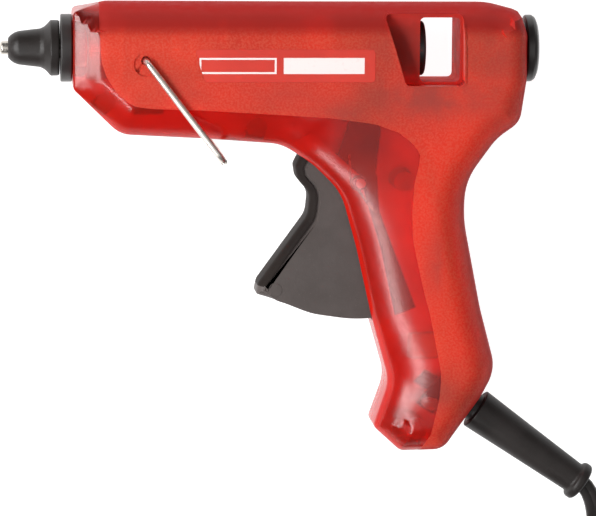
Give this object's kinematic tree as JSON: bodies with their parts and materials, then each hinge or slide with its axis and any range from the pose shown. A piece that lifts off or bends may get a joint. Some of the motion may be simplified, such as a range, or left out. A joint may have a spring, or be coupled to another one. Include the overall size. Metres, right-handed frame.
{
  "type": "glue gun",
  "caption": "Hot glue gun lying on its side: translucent shell with a window, trigger that feeds the stick carriage, swinging wire stand, silicone-capped nozzle, lead and plug.",
  "frame": {"origin": "middle of the plan of everything but the lead and plug, on the surface the gun lies on", "axes": "+X from the nozzle towards the glue inlet, +Y from the grip's base towards the top of the barrel, +Z from the gun's right side to its left side, which faces up"},
  "size_m": [0.2024, 0.2687, 0.038],
  "materials": {
    "shell": "translucent red, fine grain on the sides and gloss on the lower edges",
    "black_plastic": "satin",
    "grey_plastic": "fine grain",
    "silicone": "satin",
    "red_silicone": "satin",
    "steel": "drawn",
    "aluminium": "cast and machined",
    "brass": "polished",
    "ceramic": "fired",
    "cord": "satin"
  },
  "bodies": {
    "housing": {"housing_left": "shell", "housing_right": "shell", "label_panel": "shell", "nozzle_body": "steel", "valve_spring": "steel", "nozzle_cap": "silicone", "nozzle_flange_ring": "black_plastic", "melt_chamber": "aluminium", "front_support": "ceramic", "rear_support": "ceramic", "heater_element": "ceramic", "heater_clip": "steel", "thermal_fuse": "steel", "inlet_hose": "red_silicone", "hose_clip": "steel", "rear_inlet_ring": "black_plastic", "trigger_pin": "steel", "trigger_spring": "steel", "housing_screw_1": "steel", "housing_screw_2": "steel", "housing_screw_3": "steel", "housing_screw_4": "steel", "housing_screw_5": "steel", "strain_relief": "black_plastic", "cable_clamp": "black_plastic", "clamp_screw_1": "steel", "clamp_screw_2": "steel", "terminal_block": "ceramic", "heater_lead_a": "red_silicone", "heater_lead_b": "red_silicone", "cord_run": "cord", "cord_coil": "cord", "coil_tie": "black_plastic", "cord_tail": "cord", "plug_body": "black_plastic", "plug_pin_1": "brass", "plug_pin_2": "brass"},
    "trigger": {"trigger": "grey_plastic"},
    "carriage": {"feed_carriage": "black_plastic", "carriage_pin": "steel", "feed_jaw": "steel"},
    "stand": {"stand": "steel"},
    "ball": {"valve_ball": "steel"}
  },
  "joints": [
    {"name": "trigger_pull", "type": "hinge", "parent": "housing", "child": "trigger", "pos_m": [0.01772, 0.02364, 0.019], "axis": [0, 0, 1], "range_deg": [0, 18], "stiffness_Nm_per_rad": 0.4, "springref_deg": -20.05},
    {"name": "feed_slide", "type": "slide", "parent": "housing", "child": "carriage", "axis": [-1, 0, 0], "range_m": [0, 0.0096]},
    {"name": "stand_swing", "type": "hinge", "parent": "housing", "child": "stand", "pos_m": [-0.04968, 0.06214, 0.019], "axis": [0, 0, 1], "range_deg": [-70, 7]},
    {"name": "ball_press", "type": "slide", "parent": "housing", "child": "ball", "axis": [1, 0, 0], "range_m": [0, 0.0006], "stiffness_N_per_m": 60, "springref_m": -0.002}
  ],
  "couplings": [
    {"joint": "feed_slide", "follows": "trigger_pull", "m_per_rad": 0.03024}
  ]
}
